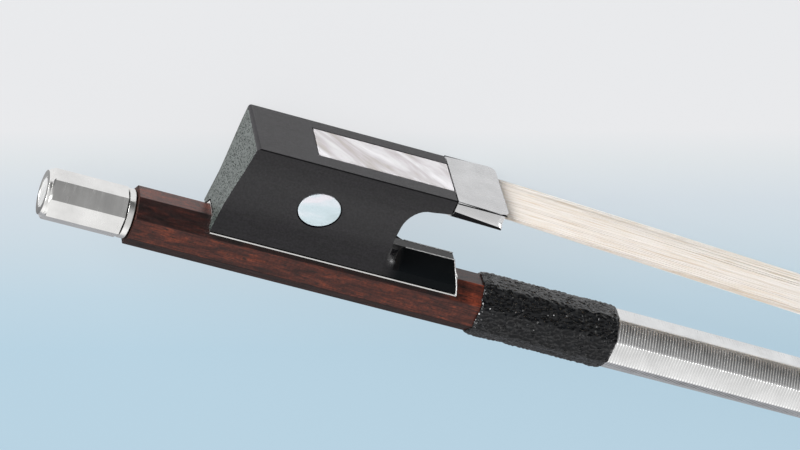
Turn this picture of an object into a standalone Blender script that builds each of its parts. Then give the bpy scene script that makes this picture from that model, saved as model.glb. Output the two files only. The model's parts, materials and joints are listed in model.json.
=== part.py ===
# Violin bow: octagonal stick, frog, screw and button, head, hair, grip and winding.
# Metres. The bow lies on its side: +X runs from the button to the head, +Y from the
# stick towards the hair, and +Z is up. Pieces are drawn in the bow's own frame, which
# starts at the butt of the wood on the screw's axis, and one empty puts them in place.
import math

import bmesh
import bpy
from mathutils import Matrix, Vector

# clearances
joint_gap = 0.0002
slide_gap = 0.0002
wrap_gap = 0.0001
knot_gap = 0.0003
overshoot = 0.0020

# stick
wood_length = 0.7263
stick_width = 0.0088
stick_tip_width = 0.0054
taper_power = 1.15
handle_length = 0.062
camber_start = 0.050
camber = 0.076
stick_steps = 26

# hair
hair_slope = -0.0500
hair_thick = 0.0008
hair_half_frog = 0.0061
hair_half_head = 0.0048
hair_half_knot = 0.0033
hair_half_plate = 0.0029
hair_rise_start = 0.0004
hair_rise_length = 0.0036
hair_lead_in = 0.0060
hair_bend_in = 0.0026

# frog, measured from the butt of the wood
heel_bottom = 0.01156
heel_lean = 0.00168
frog_bottom = 0.00282
frog_top = 0.02048
frog_half_bottom = 0.00485
frog_half_top = 0.00720
cheek_straight = 0.0042
frog_front = 0.0536
nose_radius = 0.0022
throat_back = 0.0393
throat_ceiling = 0.0178
throat_rise = 0.0050
throat_reach = 0.0040
throat_toe = 0.0012
throat_drop = 0.0030
tongue_height = 0.0072
tongue_top_half = 0.0011
tongue_shoulder_rise = 0.62
tongue_shoulder_half = 0.0032
tongue_waist_half = 0.0046
tongue_root = 0.0060
belly_inset = 0.0004
belly_drop = 0.0012
heel_chamfer = 0.0004

# underslide, the silver lining between frog and stick
lining_wall = 0.00035
lining_inset = 0.0002
pin_radius = 0.0006
pin_length = 0.0014
pin_inset = 0.0042

# ferrule
ferrule_start = 0.0466
ferrule_length = 0.0086
ferrule_half_rear = 0.0071
ferrule_half_front = 0.0076
ferrule_wall = 0.0006
ferrule_side = 0.0024
ferrule_belly = 0.0023
ferrule_corner = 0.0013
wedge_length = 0.0046
wedge_inset = 0.0004
wedge_side_gap = 0.0011

# slide with its pearl face
slide_start = 0.0237
slide_half = 0.0042
slide_offset = -0.0003
pearl_thick = 0.0010
slide_wood_thick = 0.0008
hair_channel_depth = 0.0011

# frog mortise, knot and plug
mortise_start = 0.0252
mortise_length = 0.0115
mortise_half = 0.0042
mortise_floor = 0.0108
knot_radius = 0.0025
knot_length = 0.0036
thread_width = 0.0012
thread_thick = 0.0004
thread_groove = 0.0006
knot_end_share = 0.8
knot_round = 0.0004
knot_rise = 0.0006
plug_taper = 0.0005

# pearl eyes
eye_station = 0.0266
eye_height = 0.01200
eye_radius = 0.00336
eye_thick = 0.0009

# eyelet and screw
eyelet_station = 0.0285
eyelet_length = 0.0055
eyelet_width = 0.0036
eyelet_drop = 0.0028
stem_radius = 0.0016
stem_cover = 0.0010
screw_radius = 0.0012
screw_reach = 0.044
screw_point = 0.0012
bore_run_out = 0.0010
tighten_travel = 0.0040
loosen_travel = 0.0036

# button
button_length = 0.01424
button_width = 0.00775
button_turn = math.radians(5.2)
button_wall = 0.0005
collar_width = 0.0011
collar_radius = 0.0040
collar_bead = 0.00025
end_ring_radius = 0.00363
end_ring_width = 0.0009
end_ring_edge = 0.0002
end_chamfer = 0.0008
end_chamfer_share = 0.75
button_pearl_radius = 0.00236
button_pearl_inset = 0.00005
nipple_radius = 0.0026
nipple_length = 0.0018
screw_in_button = 0.0095

# grip and winding
grip_start = 0.0580
grip_length = 0.0243
grip_thick = 0.00048
grip_end_thick = 0.00052
grip_round = 0.0012
winding_gap = 0.0003
winding_length = 0.0750
winding_thick = 0.0002
winding_steps = 6

# head, measured along the hair line from the back of the plate
head_plate_length = 0.0270
head_plate_even = 0.0100
head_beak = 0.0012
head_half_base = 0.0052
head_half_back = 0.0030
head_nose_half = 0.0010
head_nose_height = 0.0016
head_cove_length = 0.0240
head_ridge_start = -0.0050
head_ridge_power = 2.0
head_ridge_share = 0.25
head_cheek_share = 0.96
head_upper_share = 0.28
head_lower_share = 0.22
plate_curve = 1.5
plate_thick = 0.0012
plate_lining_thick = 0.0007
head_mortise_start = 0.0040
head_mortise_length = 0.0108
head_mortise_half = 0.0034
head_mortise_depth = 0.0076
head_knot_radius = 0.0021
head_steps = 12
head_cove_steps = 9
head_cove_power = 4
head_cove_spacing = 1.7

round_steps = 32


# Colours, roughness and metallic values


def make_material(name, colour, roughness, metallic=0.0):
    material = bpy.data.materials.new(name)
    material.use_nodes = True
    shader = material.node_tree.nodes["Principled BSDF"]
    shader.inputs["Base Color"].default_value = (*colour, 1.0)
    shader.inputs["Roughness"].default_value = roughness
    shader.inputs["Metallic"].default_value = metallic
    return material


# Outlines


def octagon(half_width, turn=0.0):
    # corners as (y, z), starting beside the face that looks towards +Y
    corner = half_width / math.cos(math.pi / 8)
    angles = [turn + math.pi / 8 + i * math.pi / 4 for i in range(8)]
    return [(corner * math.cos(a), corner * math.sin(a)) for a in angles]


def circle(radius, steps=round_steps, centre=(0.0, 0.0)):
    angles = [2 * math.pi * i / steps for i in range(steps)]
    return [(centre[0] + radius * math.cos(a), centre[1] + radius * math.sin(a)) for a in angles]


def arc(centre, radii, start, end, steps):
    angles = [math.radians(start + (end - start) * i / steps) for i in range(steps + 1)]
    return [(centre[0] + radii[0] * math.cos(a), centre[1] + radii[1] * math.sin(a)) for a in angles]


def blend(a, b, t):
    return a + (b - a) * t


def smooth(t):
    return t * t * (3 - 2 * t)


# Solids


def add_object(name, bm, material, parent):
    bmesh.ops.recalc_face_normals(bm, faces=bm.faces)
    mesh = bpy.data.meshes.new(name)
    bm.to_mesh(mesh)
    bm.free()
    mesh.shade_smooth()
    mesh.set_sharp_from_angle(angle=math.radians(30))
    obj = bpy.data.objects.new(name, mesh)
    bpy.context.collection.objects.link(obj)
    if material:
        mesh.materials.append(material)
    if parent:
        obj.parent = parent
    return obj


def loft(rings, closed=False):
    # skins rings that have the same number of corners; a closed loft joins last to first
    bm = bmesh.new()
    loops = [[bm.verts.new(p) for p in ring] for ring in rings]
    pairs = list(zip(loops, loops[1:]))
    if closed:
        pairs.append((loops[-1], loops[0]))
    for one, two in pairs:
        for i in range(len(one)):
            j = (i + 1) % len(one)
            bm.faces.new((one[i], one[j], two[j], two[i]))
    if not closed:
        bm.faces.new(loops[0])
        bm.faces.new(loops[-1])
    return bm


def prism_x(section, start, end):
    # section holds (y, z) corners
    return loft([[(x, y, z) for y, z in section] for x in (start, end)])


def prism_y(section, start, end):
    # section holds (x, z) corners
    return loft([[(x, y, z) for x, z in section] for y in (start, end)])


def prism_z(section, start, end):
    # section holds (x, y) corners
    return loft([[(x, y, z) for x, y in section] for z in (start, end)])


def box(x0, x1, y0, y1, z0, z1):
    return prism_x([(y0, z0), (y1, z0), (y1, z1), (y0, z1)], x0, x1)


def tube_x(outer, inner, start, end):
    rings = [[(start, y, z) for y, z in outer], [(end, y, z) for y, z in outer]]
    rings += [[(end, y, z) for y, z in inner], [(start, y, z) for y, z in inner]]
    return loft(rings, closed=True)


def turned_x(profile, steps=round_steps):
    # profile holds (x, radius) stations of a solid turned about the X axis
    return loft([[(x, y, z) for y, z in circle(r, steps)] for x, r in profile])


def turned_tube_x(profile, steps=round_steps):
    # profile is a closed (x, radius) outline that stays clear of the axis
    return loft([[(x, y, z) for y, z in circle(r, steps)] for x, r in profile], closed=True)


def add_cutter(name, bm, parent):
    cutter = add_object(name, bm, None, parent)
    cutter.hide_render = True
    cutter.display_type = "WIRE"
    return cutter


def boolean(obj, cutter, operation):
    modifier = obj.modifiers.new(cutter.name, "BOOLEAN")
    modifier.operation = operation
    modifier.solver = "EXACT"
    modifier.object = cutter


def cut(obj, name, bm):
    boolean(obj, add_cutter("cut_" + name, bm, obj.parent), "DIFFERENCE")


def join(obj, name, bm):
    boolean(obj, add_cutter("add_" + name, bm, obj.parent), "UNION")


def keep_inside(obj, name, bm):
    boolean(obj, add_cutter("keep_" + name, bm, obj.parent), "INTERSECT")


# Lines that several pieces share


def stick_half(x):
    # half the width across the flats: even along the handle, then a slow taper
    if x <= handle_length:
        return stick_width / 2
    t = (x - handle_length) / (plate_station() - handle_length)
    return blend(stick_width, stick_tip_width, t ** taper_power) / 2


def plate_station():
    # where the head plate starts so that the nose ends at the wood's full length
    angle = math.atan(hair_slope)
    reach = (head_plate_length - head_beak) * math.cos(angle)
    return wood_length - reach - hair_thick * math.sin(angle)


def stick_centre(x):
    # the bend pulls the middle of the stick towards the hair, seen from the hair line
    return -camber * max(0.0, x - camber_start) ** 2


def ferrule_mouth():
    return ferrule_start + ferrule_length


def hair_height():
    # middle of the ribbon where it leaves the ferrule
    return frog_top - ferrule_wall - joint_gap - hair_thick / 2


def hair_line(x):
    return hair_height() + hair_slope * (x - ferrule_mouth())


def head_frame():
    # t runs forward along the hair, d goes from the plate's face down to the stick
    along = Vector((1.0, hair_slope, 0.0)).normalized()
    down = Vector((along.y, -along.x, 0.0))
    back = plate_station()
    start = Vector((back, hair_line(back), 0.0)) + down * hair_thick
    return start, along, down


def head_point(t, d, z):
    start, along, down = head_frame()
    p = start + along * t + down * d
    return (p.x, p.y, z)


def head_prism(section, d0, d1):
    # section holds (t, z) corners
    return loft([[head_point(t, d, z) for t, z in section] for d in (d0, d1)])


def eyelet_slot():
    # the stretch of stick that the eyelet needs for the frog's whole travel
    start = eyelet_station - eyelet_length / 2 - tighten_travel - joint_gap
    end = eyelet_station + eyelet_length / 2 + loosen_travel + joint_gap
    return start, end


# Stick and head


def make_stick(material, parent):
    # one skin from the butt to the nose: an octagon that grows into the head
    rings = [stick_ring(x) for x in stick_stations()]
    rings += [head_ring(head_point_x(t)) for t in head_stations()]
    stick = add_object("stick", loft(rings), material, parent)
    join(stick, "nipple", turned_x([(-nipple_length, nipple_radius), (overshoot, nipple_radius)]))
    cut(stick, "head_mortise", head_prism(head_mortise_outline(0.0), 0.0, head_mortise_depth))
    bore = screw_radius + joint_gap
    end = screw_reach + bore_run_out
    cut(stick, "screw_bore", turned_x([(-nipple_length - overshoot, bore), (end, bore)], 16))
    slot_start, slot_end = eyelet_slot()
    half = eyelet_width / 2 + joint_gap
    floor = -eyelet_drop - joint_gap
    cut(stick, "eyelet_slot", box(slot_start, slot_end, floor, stick_width, -half, half))


def stick_stations():
    # even steps along the bend, after the straight handle
    end = plate_station() - head_cove_length
    return [0.0] + [blend(camber_start, end, i / stick_steps) for i in range(stick_steps)]


def stick_ring(x):
    y = stick_centre(x)
    return [(x, y + a, b) for a, b in octagon(stick_half(x))]


def head_stations():
    # close together in the cove behind the plate, then even steps to the nose
    parts = [1 - i / head_cove_steps for i in range(head_cove_steps + 1)]
    cove = [-head_cove_length * part ** head_cove_spacing for part in parts]
    nose = head_plate_length - head_beak
    return cove + [nose * (i + 1) / head_steps for i in range(head_steps)]


def head_point_x(t):
    return head_point(t, 0.0, 0.0)[0]


def plate_half(t):
    # half width of the head plate: even beside the mortise, then narrowing to the nose
    reach = max(0.0, t - head_plate_even) / (head_plate_length - head_plate_even)
    return blend(head_half_base, head_nose_half, min(1.0, reach) ** plate_curve)


def head_ring(x):
    # the octagon's corners move out to the plate above and the ridge below
    t = x - head_point_x(0.0)
    half = stick_half(min(x, plate_station()))
    corner = half * math.tan(math.pi / 8)
    centre = stick_centre(x)
    cove = min(1.0, max(0.0, 1.0 + t / head_cove_length))
    grow = cove ** head_cove_power
    ease = smooth(cove)
    wood = hair_line(x) - hair_thick - wood_top()
    top = blend(centre + half, wood, grow)
    reach = max(0.0, t - head_ridge_start) / (head_plate_length - head_beak - head_ridge_start)
    reach = min(1.0, reach)
    bottom = blend(centre - half, wood - head_nose_height, reach ** head_ridge_power)
    wide = plate_half(max(0.0, t))
    narrow = blend(1.0, head_ridge_share, reach ** plate_curve)
    height = top - bottom
    upper = blend(half, wide * head_cheek_share, grow)
    lower = blend(half, head_half_back, ease) * narrow
    upper_step = blend(half - corner, height * head_upper_share, grow)
    lower_step = blend(half - corner, height * head_lower_share, ease)
    side = [
        (top, blend(corner, wide, grow)),
        (top - upper_step, upper),
        (bottom + lower_step, lower),
        (bottom, corner * narrow),
    ]
    near = [(x, y, z) for y, z in side]
    far = [(x, y, -z) for y, z in reversed(side)]
    return near + far


def wood_top():
    # depth at which the head's wood starts, below its plate and lining
    return plate_thick + plate_lining_thick + 2 * joint_gap


def plate_outline():
    steps = 6
    stations = [0.0] + [blend(head_plate_even, head_plate_length, i / steps) for i in range(steps + 1)]
    side = [(t, plate_half(t)) for t in stations]
    return side + [(t, -z) for t, z in reversed(side)]


def head_mortise_outline(grow):
    start = head_mortise_start - grow
    end = head_mortise_start + head_mortise_length + grow
    half = head_mortise_half + grow
    return [(start, -half), (end, -half), (end, half), (start, half)]


def make_head_plate(material, parent):
    plate = add_object("head_plate", head_prism(plate_outline(), 0.0, plate_thick), material, parent)
    outline = head_mortise_outline(joint_gap)
    cut(plate, "plate_opening", head_prism(outline, -overshoot, plate_thick + overshoot))


def make_head_plate_lining(material, parent):
    top = plate_thick + joint_gap
    bm = head_prism(plate_outline(), top, top + plate_lining_thick)
    lining = add_object("head_plate_lining", bm, material, parent)
    outline = head_mortise_outline(joint_gap)
    cut(lining, "lining_opening", head_prism(outline, -overshoot, top + plate_lining_thick + overshoot))


def make_head_plug(material, parent):
    start = head_mortise_start + joint_gap
    end = head_mortise_start + head_mortise_length - 2 * head_knot_radius - 3 * knot_gap
    half = head_mortise_half - joint_gap
    top = 2 * hair_thick
    bottom = head_mortise_depth - joint_gap
    outline = [(start, top), (end, top), (end - plug_taper, bottom), (start, bottom)]
    rings = [[head_point(t, d, z) for t, d in outline] for z in (-half, half)]
    add_object("head_plug", loft(rings), material, parent)


# Knots of hair bound with thread


def make_knot(name, radius, place, hair_material, thread_material, parent):
    # a bound knot turned about X, with its thread in a groove round the middle
    groove = (knot_length - thread_width) / 2
    low = radius - thread_groove
    end = radius * knot_end_share
    profile = [(0.0, end), (knot_round, radius), (groove, radius), (groove, low),
               (knot_length - groove, low), (knot_length - groove, radius),
               (knot_length - knot_round, radius), (knot_length, end)]
    knot = turned_x(profile, 20)
    inner = low + joint_gap / 2
    start = groove + joint_gap / 2
    end = knot_length - groove - joint_gap / 2
    outer = inner + thread_thick
    thread = turned_tube_x([(start, inner), (start, outer), (end, outer), (end, inner)], 20)
    for bm in (knot, thread):
        bmesh.ops.transform(bm, matrix=place, verts=bm.verts)
    add_object(name, knot, hair_material, parent)
    add_object(name + "_thread", thread, thread_material, parent)


def head_knot_depth():
    return head_mortise_depth - knot_gap - knot_length


def make_head_knot(hair_material, thread_material, parent):
    # the knot stands upright in the mortise, its axis along the depth
    end = head_mortise_start + head_mortise_length - knot_gap
    down = head_frame()[2]
    top = Vector(head_point(end - head_knot_radius, head_knot_depth(), 0.0))
    turn = Vector((1.0, 0.0, 0.0)).rotation_difference(down).to_matrix().to_4x4()
    place = Matrix.Translation(top) @ turn
    make_knot("head_knot", head_knot_radius, place, hair_material, thread_material, parent)


def make_frog_knot(hair_material, thread_material, parent):
    y = channel_floor() - knot_radius + knot_rise
    place = Matrix.Translation((mortise_start + knot_gap, y, 0.0))
    make_knot("frog_knot", knot_radius, place, hair_material, thread_material, parent)


# Hair


def channel_hair():
    # middle of the ribbon where it lies in the channel under the slide
    return channel_floor() + joint_gap + hair_thick / 2


def hair_rise():
    return ferrule_start + hair_rise_start


def make_hair(material, parent):
    knot_end = mortise_start + 2 * knot_gap + knot_length
    # each station is (x, y, half width)
    spread = blend(hair_half_knot, hair_half_frog, 0.9)
    stations = [
        (knot_end, channel_hair(), hair_half_knot),
        (hair_rise(), channel_hair(), hair_half_knot),
        (hair_rise() + hair_rise_length, hair_height() - joint_gap, spread),
        (ferrule_mouth(), hair_height(), hair_half_frog),
    ]
    lift = hair_thick / 2 + joint_gap
    knot_start = head_mortise_start + head_mortise_length - knot_gap - 2 * head_knot_radius
    for t, d, half in (
        (-hair_lead_in, -lift, hair_half_head),
        (head_mortise_start, -lift, hair_half_plate),
        (head_mortise_start + hair_bend_in, hair_thick * 0.6, hair_half_plate),
        (knot_start - 0.0010, hair_thick, hair_half_plate),
        (knot_start + head_knot_radius, head_knot_depth() - hair_thick, hair_half_plate * 0.7),
    ):
        x, y, _ = head_point(t, d, 0.0)
        stations.append((x, y, half))
    rings = []
    for x, y, half in stations:
        low, high = y - hair_thick / 2, y + hair_thick / 2
        rings.append([(x, low, -half), (x, low, half), (x, high, half), (x, high, -half)])
    add_object("hair", loft(rings), material, parent)


# Grip and winding


def wrap(stations, name, material, parent):
    # stations are (x, inner clearance, outer thickness) round the octagonal stick
    def ring(x, offset):
        y = stick_centre(x)
        return [(x, y + a, b) for a, b in octagon(stick_half(x) + offset)]

    outer = [ring(x, gap + thick) for x, gap, thick in stations]
    inner = [ring(x, gap) for x, gap, thick in reversed(stations)]
    add_object(name, loft(outer + inner, closed=True), material, parent)


def make_thumb_grip(material, parent):
    end = grip_start + grip_length
    stations = [
        (grip_start, wrap_gap, grip_thick * 0.55),
        (grip_start + grip_round * 0.5, wrap_gap, grip_thick * 0.95),
        (grip_start + grip_round * 1.5, wrap_gap, grip_thick * 1.05),
        (grip_start + grip_length * 0.3, wrap_gap, grip_thick * 0.9),
        (grip_start + grip_length * 0.75, wrap_gap, grip_thick),
        (end - grip_round * 1.5, wrap_gap, grip_end_thick),
        (end - grip_round * 0.4, wrap_gap, grip_end_thick * 0.85),
        (end, wrap_gap, grip_end_thick * 0.45),
    ]
    wrap(stations, "thumb_grip", material, parent)


def winding_start():
    return grip_start + grip_length + winding_gap


def make_wire_winding(material, parent):
    start = winding_start()
    places = [start + winding_length * i / winding_steps for i in range(winding_steps + 1)]
    stations = [(x, wrap_gap, winding_thick) for x in places]
    wrap(stations, "wire_winding", material, parent)


# Frog


def cheek_half(y):
    # half width of the frog at height y: straight beside the stick, then flaring
    if y <= frog_bottom + cheek_straight:
        return frog_half_bottom
    t = (y - frog_bottom - cheek_straight) / (frog_top - frog_bottom - cheek_straight)
    return blend(frog_half_bottom, frog_half_top, blend(t, smooth(t), 0.6))


def frog_section():
    lowest = frog_bottom + lining_wall + joint_gap
    heights = [lowest, frog_bottom + cheek_straight]
    steps = 7
    heights += [blend(frog_bottom + cheek_straight, frog_top, i / steps) for i in range(1, steps + 1)]
    side = [(y, cheek_half(y)) for y in heights]
    return side + [(y, -z) for y, z in reversed(side)]


def frog_outline():
    # side view of the upper frog: heel, slide face, ferrule seat and throat
    lowest = frog_bottom
    ceiling = throat_ceiling
    seat = ferrule_start - joint_gap
    middle = (throat_back + throat_reach, ceiling - throat_rise)
    cove = arc(middle, (throat_reach, throat_rise), 90, 180, 8)
    back = [(throat_back, middle[1] - throat_drop), (throat_back + throat_toe, lowest)]
    lean = heel_lean / (frog_top - frog_bottom)
    top_corner = heel_bottom + heel_lean
    heel = [(heel_bottom, lowest), (top_corner - heel_chamfer * lean, frog_top - heel_chamfer),
            (top_corner + heel_chamfer, frog_top)]
    return heel + [(seat, frog_top), (seat, ceiling)] + cove + back


def tongue_section():
    # the ridge that lies on the stick in front of the throat
    lowest = frog_bottom + lining_wall + joint_gap
    shoulder = blend(lowest, tongue_height, tongue_shoulder_rise)
    side = [(lowest, frog_half_bottom), (blend(lowest, shoulder, 0.5), tongue_waist_half),
            (shoulder, tongue_shoulder_half), (tongue_height, tongue_top_half)]
    return side + [(y, -z) for y, z in reversed(side)]


def tongue_outline():
    root = throat_back - tongue_root
    middle = (frog_front - nose_radius, tongue_height - nose_radius)
    nose = arc(middle, (nose_radius, nose_radius), 90, 0, 5)
    return [(root, frog_bottom), (root, tongue_height)] + nose + [(frog_front, frog_bottom)]


def d_section(half, top, side, belly, steps=12):
    # flat top and sides with an arched belly, like the mouth of the ferrule
    shoulder = top - side
    arch = arc((shoulder, 0.0), (belly, half), 90, 270, steps)
    return [(top, -half), (top, half)] + arch


def belly_section():
    # the ebony in front of the throat's roof, a little inside the ferrule's outline
    half = ferrule_half_rear - belly_inset
    return d_section(half, frog_top - belly_drop, ferrule_side - belly_drop, ferrule_belly - belly_inset)


def make_frog_body(material, parent):
    body = add_object("frog_body", prism_x(frog_section(), 0.0, ferrule_start), material, parent)
    wide = frog_half_top + overshoot
    keep_inside(body, "frog_outline", prism_z(frog_outline(), -wide, wide))
    ridge = prism_x(tongue_section(), throat_back - tongue_root / 2, frog_front + overshoot)
    tongue = add_cutter("add_tongue", ridge, parent)
    keep_inside(tongue, "tongue_outline", prism_z(tongue_outline(), -wide, wide))
    boolean(body, tongue, "UNION")
    seat = ferrule_start - joint_gap
    join(body, "throat_belly", prism_x(belly_section(), throat_back + belly_inset, seat))
    tip = ferrule_mouth() - ferrule_corner
    join(body, "ferrule_tongue", prism_x(neck_section(), seat - overshoot, tip))
    cut_frog_channel(body)
    cut_frog_mortise(body)
    cut_eye_pockets(body)


def neck_section():
    # the ebony that the ferrule slides over, level with the floor of the hair's channel
    inset = ferrule_wall + joint_gap
    shoulder = frog_top - ferrule_side
    belly = ferrule_belly - inset
    dip = math.degrees(math.asin((shoulder - channel_floor()) / belly))
    return arc((shoulder, 0.0), (belly, ferrule_half_rear - inset), 90 + dip, 270 - dip, 10)


def channel_half():
    # half width of the octagonal channel in the ebony, outside the silver lining
    return stick_width / 2 + slide_gap + lining_wall + joint_gap


def cut_frog_channel(body):
    start = heel_bottom - overshoot
    cut(body, "stick_channel", prism_x(octagon(channel_half()), start, frog_front + overshoot))
    low = channel_half() - overshoot
    radius = stem_radius + joint_gap
    hole = prism_y(circle(radius, 20, (eyelet_station, 0.0)), low, stem_height() + joint_gap)
    cut(body, "eyelet_hole", hole)
    for name, x in pin_stations():
        hole = prism_y(circle(pin_radius + joint_gap, 12, (x, 0.0)), low, pin_top() + joint_gap)
        cut(body, "hole_" + name, hole)


def stem_height():
    # the eyelet's stem ends in the ebony under the knot's mortise
    return mortise_floor - stem_cover - joint_gap


def pin_stations():
    return (("rear", heel_bottom + pin_inset), ("front", frog_front - pin_inset))


def pin_top():
    return stick_width / 2 + slide_gap + pin_length


def slide_floor():
    return frog_top - pearl_thick - slide_wood_thick - 2 * joint_gap


def channel_floor():
    return slide_floor() - hair_channel_depth


def cut_frog_mortise(body):
    past = ferrule_mouth()
    floor = slide_floor()
    low = slide_offset - slide_half - joint_gap
    high = slide_offset + slide_half + joint_gap
    start = slide_start - joint_gap
    cut(body, "slide_track", box(start, past, floor, frog_top + overshoot, low, high))
    half = hair_half_knot + knot_gap
    start = mortise_start + knot_length
    cut(body, "hair_channel", box(start, past, channel_floor(), floor + joint_gap, -half, half))
    end = mortise_start + mortise_length
    half = mortise_half
    cut(body, "knot_mortise", box(mortise_start, end, mortise_floor, floor + joint_gap, -half, half))


def eye_turn():
    # the cheek's slope at the eye, which the disc follows
    step = 0.001
    rise = cheek_half(eye_height + step) - cheek_half(eye_height - step)
    return math.atan(rise / (2 * step))


def eye_disc(side, radius, inner, outer):
    # a disc square to the cheek, from inner to outer depth along its normal
    bm = loft([[(x, y, z) for x, y in circle(radius)] for z in (inner, outer)])
    flip = Matrix.Identity(4) if side > 0 else Matrix.Rotation(math.pi, 4, "X")
    tilt = Matrix.Rotation(side * eye_turn(), 4, "X")
    place = Matrix.Translation((eye_station, eye_height, side * cheek_half(eye_height)))
    bmesh.ops.transform(bm, matrix=place @ tilt @ flip, verts=bm.verts)
    return bm


def cut_eye_pockets(body):
    radius = eye_radius + joint_gap
    for name, side in (("near", 1), ("far", -1)):
        cut(body, "eye_pocket_" + name, eye_disc(side, radius, -eye_thick - joint_gap, overshoot))


def make_eyes(material, parent):
    for name, side in (("near", 1), ("far", -1)):
        add_object("pearl_eye_" + name, eye_disc(side, eye_radius, -eye_thick, 0.0), material, parent)


# Underslide and its pins


def diagonal(half, y):
    # z on the slanting face of an octagon of that half width, at height y
    return math.sqrt(2) * half - y


def underslide_section():
    inner = stick_width / 2 + slide_gap
    outer = inner + lining_wall
    flange = frog_bottom + lining_wall
    corner = math.tan(math.pi / 8)
    side = [
        (frog_bottom, diagonal(inner, frog_bottom)),
        (frog_bottom, frog_half_bottom),
        (flange, frog_half_bottom),
        (flange, diagonal(outer, flange)),
        (outer, outer * corner),
    ]
    far = [(y, -z) for y, z in reversed(side)]
    return side + far + [(inner, -inner * corner), (inner, inner * corner)]


def make_underslide(material, parent):
    start = heel_bottom + lining_inset
    end = frog_front - lining_inset
    sheet = prism_x(underslide_section(), start, end)
    lining = add_object("underslide", sheet, material, parent)
    low, high = stick_width / 2 - overshoot, stick_width / 2 + overshoot
    radius = stem_radius + joint_gap
    cut(lining, "lining_eyelet_hole", prism_y(circle(radius, 20, (eyelet_station, 0.0)), low, high))
    for name, x in pin_stations():
        hole = prism_y(circle(pin_radius + joint_gap, 12, (x, 0.0)), low, high)
        cut(lining, "lining_hole_" + name, hole)


def make_pins(material, parent):
    low = stick_width / 2 + slide_gap
    for name, x in pin_stations():
        bm = prism_y(circle(pin_radius, 12, (x, 0.0)), low, pin_top())
        add_object("underslide_pin_" + name, bm, material, parent)


# Ferrule and wedge


def make_ferrule(material, parent):
    end = ferrule_mouth()

    def ring(x, half, inset, front):
        points = d_ring(half - inset, frog_top - inset, ferrule_side - inset, ferrule_belly - inset)
        out = []
        for y, z in points:
            pull = max(0.0, abs(z) + inset * 0.5 - (half - ferrule_corner)) if front else 0.0
            pull = min(pull, ferrule_corner)
            shift = ferrule_corner - math.sqrt(max(0.0, ferrule_corner ** 2 - pull ** 2))
            out.append((x - shift, y, z))
        return out

    rings = [
        ring(ferrule_start, ferrule_half_rear, 0.0, False),
        ring(end, ferrule_half_front, 0.0, True),
        ring(end, ferrule_half_front, ferrule_wall, True),
        ring(ferrule_start, ferrule_half_rear, ferrule_wall, False),
    ]
    add_object("ferrule", loft(rings, closed=True), material, parent)


def d_ring(half, top, side, belly):
    # the mouth of the ferrule, with more points where its front corners are round
    across = [-1.0, -0.97, -0.93, -0.88, -0.82, 0.82, 0.88, 0.93, 0.97, 1.0]
    shoulder = top - side
    arch = arc((shoulder, 0.0), (belly, half), 90, 270, 16)
    return [(top, half * a) for a in across] + arch


def hair_in_ferrule(x):
    # middle of the ribbon inside the ferrule
    turn = hair_rise() + hair_rise_length
    if x >= turn:
        return blend(hair_height() - joint_gap, hair_height(), (x - turn) / (ferrule_mouth() - turn))
    return blend(channel_hair(), hair_height() - joint_gap, (x - hair_rise()) / hair_rise_length)


def make_wedge(material, parent):
    # it fills the ferrule's mouth under the hair, whose slope it follows
    end = ferrule_mouth() - wedge_inset
    start = end - wedge_length
    low = channel_floor() + joint_gap
    rings = []
    for x, half in ((start, ferrule_half_rear), (end, ferrule_half_front)):
        half -= ferrule_wall + wedge_side_gap
        top = hair_in_ferrule(x) - hair_thick / 2 - joint_gap
        rings.append([(x, low, -half), (x, low, half), (x, top, half), (x, top, -half)])
    add_object("ferrule_wedge", loft(rings), material, parent)


# Slide, its pearl face, and the plug under it


def make_slide(pearl, wood, parent):
    low, high = slide_offset - slide_half, slide_offset + slide_half
    end = ferrule_start - joint_gap
    face = box(slide_start, end, frog_top - pearl_thick, frog_top, low, high)
    add_object("pearl_slide", face, pearl, parent)
    floor = slide_floor() + joint_gap
    backing = box(slide_start, end, floor, floor + slide_wood_thick, low, high)
    add_object("slide_wood", backing, wood, parent)


def make_frog_plug(material, parent):
    start = mortise_start + knot_length + 3 * knot_gap
    end = mortise_start + mortise_length - joint_gap
    half = mortise_half - joint_gap
    low = mortise_floor + joint_gap
    high = channel_floor() - joint_gap
    outline = [(start + plug_taper, low), (end, low), (end, high), (start, high)]
    add_object("frog_plug", prism_z(outline, -half, half), material, parent)


# Eyelet


def make_eyelet(material, parent):
    half = eyelet_length / 2
    top = stick_width / 2 - joint_gap
    wide = eyelet_width / 2
    block = box(eyelet_station - half, eyelet_station + half, -eyelet_drop, top, -wide, wide)
    eyelet = add_object("eyelet", block, material, parent)
    stem = prism_y(circle(stem_radius, 20, (eyelet_station, 0.0)), top - stem_radius, stem_height())
    join(eyelet, "stem", stem)
    bore = screw_radius + joint_gap
    cut(eyelet, "eyelet_bore", turned_x([(0.0, bore), (screw_reach, bore)], 16))


# Screw and button


def make_screw(material, parent):
    tip = screw_radius * 0.5
    point = screw_reach - screw_point
    profile = [(-screw_in_button, screw_radius), (point, screw_radius), (screw_reach, tip)]
    add_object("screw", turned_x(profile, 16), material, parent)


def sleeve_ends():
    start = -collar_width - 2 * joint_gap
    end = -button_length + end_ring_width + joint_gap
    return start, end


def make_button_sleeve(material, parent):
    # an octagonal tube whose far end is chamfered round to meet the end ring
    start, end = sleeve_ends()
    half = button_width / 2
    angles = [button_turn + 2 * math.pi * i / round_steps for i in range(round_steps)]
    edge = [turned_octagon(half, angle) for angle in angles]
    small = end_ring_radius + joint_gap
    inner = half - button_wall

    def ring(x, radii):
        return [(x, r * math.cos(a), r * math.sin(a)) for r, a in zip(radii, angles)]

    tapered = [min(r, blend(r, small, end_chamfer_share)) for r in edge]
    rings = [
        ring(start, edge),
        ring(end + end_chamfer, edge),
        ring(end, tapered),
        ring(end, [inner] * round_steps),
        ring(start, [inner] * round_steps),
    ]
    add_object("button_sleeve", loft(rings, closed=True), material, parent)


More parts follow.
